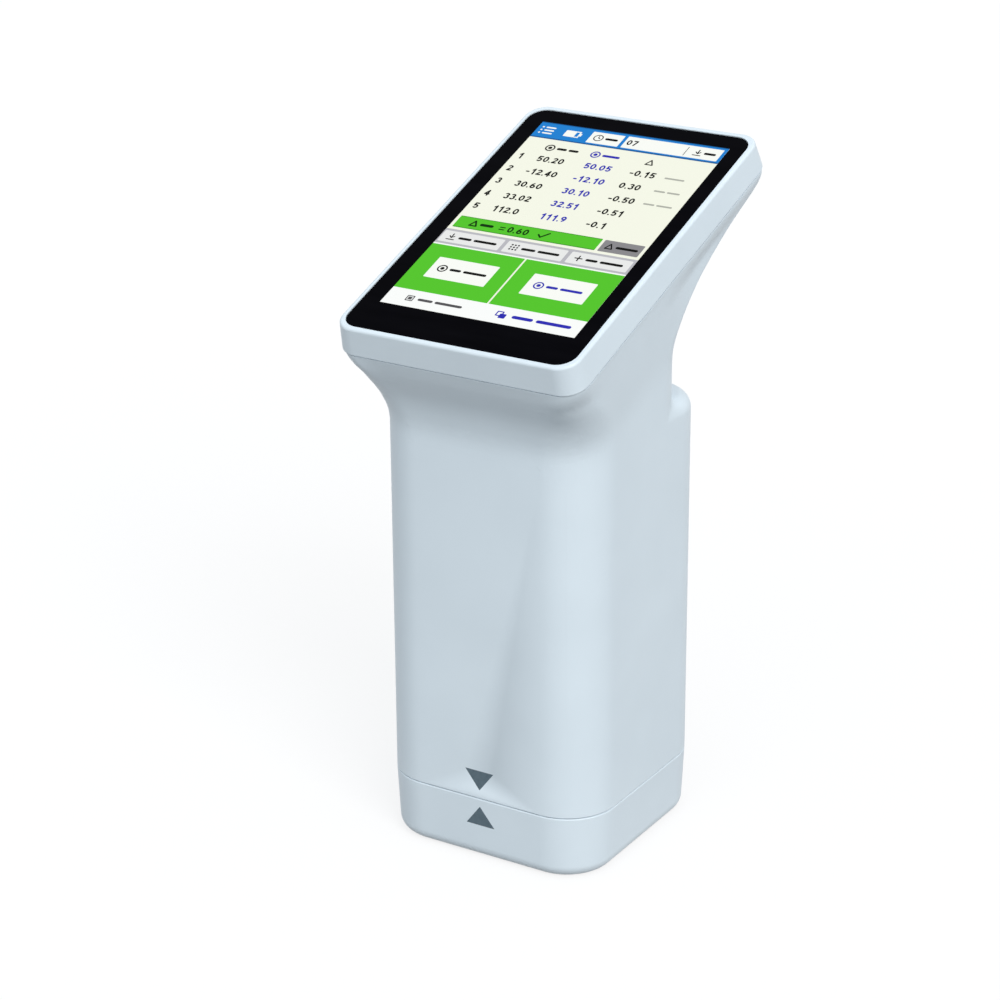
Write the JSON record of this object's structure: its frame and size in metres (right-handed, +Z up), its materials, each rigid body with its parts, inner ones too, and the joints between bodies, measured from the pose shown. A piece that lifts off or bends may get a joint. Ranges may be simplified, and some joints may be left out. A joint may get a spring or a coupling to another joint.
{
  "type": "portable colorimeter",
  "caption": "Hand-held colorimeter with a square tower, a leaning touch-screen head and a lift-off calibration cap that it stands on.",
  "frame": {"origin": "centre of the calibration cap's underside, on the surface that the instrument stands on", "axes": "+Z up along the tower, -Y to the front where the screen faces the user, +X to the right-hand side"},
  "size_m": [0.0614, 0.0892, 0.1577],
  "materials": {
    "housing": "satin",
    "mark": "matt ink",
    "foam": "matt",
    "tile": "glazed",
    "inner_plastic": "matt",
    "steel": "plain",
    "magnet": "nickel plated",
    "black_metal": "black anodised",
    "sphere": "diffuse white",
    "lens": "polished",
    "screen_glass": "polished",
    "panel": "semi gloss",
    "board": "solder mask",
    "chip": "moulded",
    "led": "clear",
    "ribbon": "polyimide",
    "battery": "shrink sleeve",
    "lead": "smooth",
    "tape": "matt",
    "key": "satin"
  },
  "bodies": {
    "calibration_cap": {"cap_shell": "housing", "cap_mark": "mark", "tile_cushion": "foam", "white_tile": "tile", "tile_holder": "inner_plastic", "tile_screws": "steel", "cap_magnets": "magnet"},
    "instrument": {"body_shell": "housing", "head_frame": "housing", "body_mark": "mark", "base_plate": "inner_plastic", "inner_frame": "inner_plastic", "base_screws": "steel", "sphere_screws": "steel", "charge_board_screws": "steel", "bracket_screws": "steel", "board_screws": "steel", "display_bracket": "steel", "charge_socket": "steel", "base_magnets": "magnet", "aperture_ring": "black_metal", "viewing_tube": "black_metal", "sphere_lower": "sphere", "sphere_upper": "sphere", "viewing_lens": "lens", "cover_glass": "screen_glass", "display_panel": "panel", "sensor_board": "board", "lamp_board_front": "board", "lamp_board_rear": "board", "charge_board": "board", "button_board": "board", "main_board": "board", "sensor_chip": "chip", "board_parts": "chip", "buzzer": "chip", "button_switch": "chip", "charge_tongue": "chip", "lamp_leds": "led", "sensor_ribbon": "ribbon", "display_ribbon": "ribbon", "battery_cell": "battery", "battery_lead": "lead", "glass_tape": "tape"},
    "power_key_body": {"power_key": "key"}
  },
  "joints": [
    {"name": "cap_release", "type": "slide", "parent": "calibration_cap", "child": "instrument", "axis": [0, 0, 1], "range_m": [0, 0.025]},
    {"name": "power_key_press", "type": "slide", "parent": "instrument", "child": "power_key_body", "axis": [0, -1, 0], "range_m": [0, 0.0005], "stiffness_N_per_m": 800}
  ]
}
